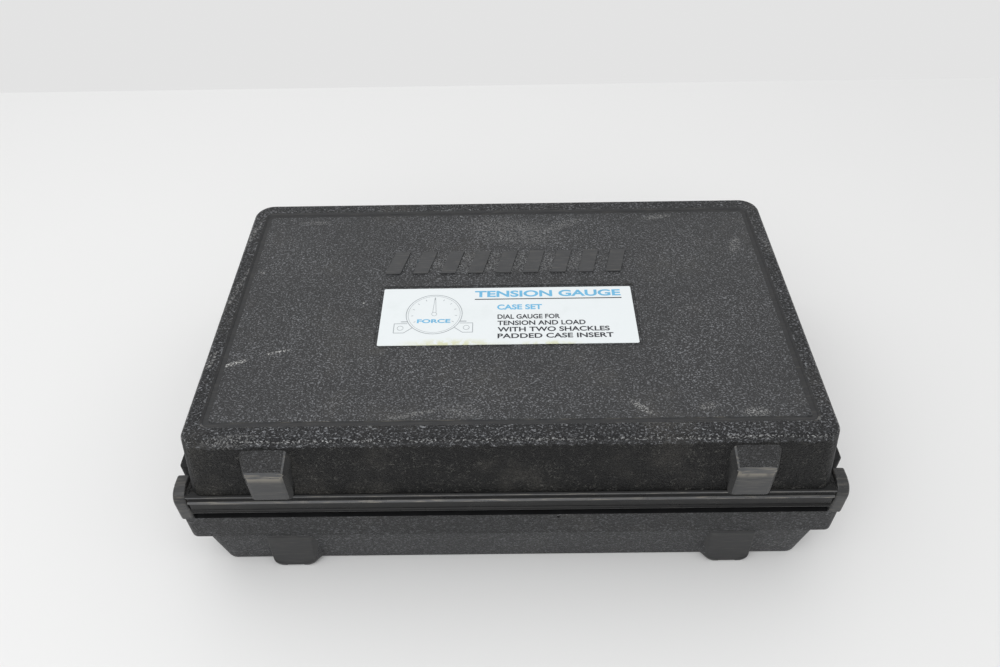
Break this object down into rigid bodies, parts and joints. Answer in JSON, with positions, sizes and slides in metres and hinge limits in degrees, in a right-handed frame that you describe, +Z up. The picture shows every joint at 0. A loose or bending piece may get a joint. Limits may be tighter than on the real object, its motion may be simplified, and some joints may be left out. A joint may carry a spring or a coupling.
{
  "type": "dial dynamometer in hinged carrying case",
  "caption": "Hinged black carrying case with drop handle and latches, holding a dial tension dynamometer and bow shackles in cut foam.",
  "frame": {"origin": "centre of the flat bottom that the shut case rests on", "axes": "+X along the lid's hinge, +Y from the hinge towards the carry handle, +Z up out of the lid"},
  "size_m": [0.4368, 0.2655, 0.133],
  "materials": {
    "case_plastic": "satin",
    "latch_plastic": "satin",
    "label_film": "satin",
    "foam": "matte",
    "steel": "satin",
    "movement_brass": "satin",
    "housing_alloy": "satin",
    "dial_enamel": "matte",
    "lens_glass": "gloss",
    "pointer_black": "satin",
    "peak_red": "satin",
    "knob_plastic": "satin",
    "shackle_paint": "satin"
  },
  "bodies": {
    "base": {"base_shell": "case_plastic", "hinge_pin_left": "steel", "hinge_pin_right": "steel", "handle_pin_left": "steel", "handle_pin_right": "steel", "base_pad": "foam", "base_foam": "foam", "deflection_beam": "steel", "mounting_plate": "steel", "mounting_screw_1": "steel", "mounting_screw_2": "steel", "gauge_housing": "housing_alloy", "bezel_ring": "housing_alloy", "lens": "lens_glass", "dial_plate": "dial_enamel", "movement_plate": "movement_brass", "sector_pivot": "steel", "hairspring": "movement_brass", "shackle_bow_left": "shackle_paint", "shackle_bow_right": "shackle_paint"},
    "lid": {"lid_shell": "case_plastic", "lid_foam": "foam", "label": "label_film", "latch_pin_left": "steel", "latch_pin_right": "steel"},
    "handle": {"carry_handle": "latch_plastic"},
    "latch_left_body": {"latch_left": "latch_plastic"},
    "latch_right_body": {"latch_right": "latch_plastic"},
    "sector": {"sector_gear": "movement_brass"},
    "link": {"drive_link": "steel"},
    "live_hand": {"pinion_arbor": "movement_brass", "live_pointer": "pointer_black"},
    "peak_hand": {"peak_pointer": "peak_red", "reset_knob": "knob_plastic"},
    "pin_left": {"shackle_pin_left": "steel"},
    "pin_right": {"shackle_pin_right": "steel"}
  },
  "joints": [
    {"name": "lid_hinge", "type": "hinge", "parent": "base", "child": "lid", "pos_m": [0, -0.115, 0.073], "axis": [1, 0, 0], "range_deg": [0, 100]},
    {"name": "handle_swing", "type": "hinge", "parent": "base", "child": "handle", "pos_m": [0, 0.1325, 0.049], "axis": [1, 0, 0], "range_deg": [0, 90]},
    {"name": "latch_left_swing", "type": "hinge", "parent": "lid", "child": "latch_left_body", "pos_m": [-0.13, 0.134, 0.077], "axis": [1, 0, 0], "range_deg": [0, 95]},
    {"name": "latch_right_swing", "type": "hinge", "parent": "lid", "child": "latch_right_body", "pos_m": [0.13, 0.134, 0.077], "axis": [1, 0, 0], "range_deg": [0, 95]},
    {"name": "sector_swing", "type": "hinge", "parent": "base", "child": "sector", "pos_m": [0, -0.0391, 0.0485], "axis": [0, 0, 1], "range_deg": [0, 40]},
    {"name": "link_slide", "type": "slide", "parent": "base", "child": "link", "axis": [1, 0, 0], "range_m": [0, 0.0085]},
    {"name": "live_hand_turn", "type": "hinge", "parent": "base", "child": "live_hand", "pos_m": [0, 0.012, 0.05], "axis": [0, 0, -1], "range_deg": [0, 300]},
    {"name": "peak_hand_turn", "type": "hinge", "parent": "base", "child": "peak_hand", "pos_m": [0, 0.012, 0.065], "axis": [0, 0, -1], "range_deg": [0, 306]},
    {"name": "pin_left_turn", "type": "hinge", "parent": "base", "child": "pin_left", "pos_m": [-0.155, -0.022, 0.027], "axis": [1, 0, 0], "continuous": true},
    {"name": "pin_right_turn", "type": "hinge", "parent": "base", "child": "pin_right", "pos_m": [0.155, -0.022, 0.027], "axis": [1, 0, 0], "continuous": true}
  ],
  "couplings": [
    {"joint": "live_hand_turn", "follows": "sector_swing", "ratio": 7.5},
    {"joint": "link_slide", "follows": "sector_swing", "m_per_rad": 0.012}
  ]
}
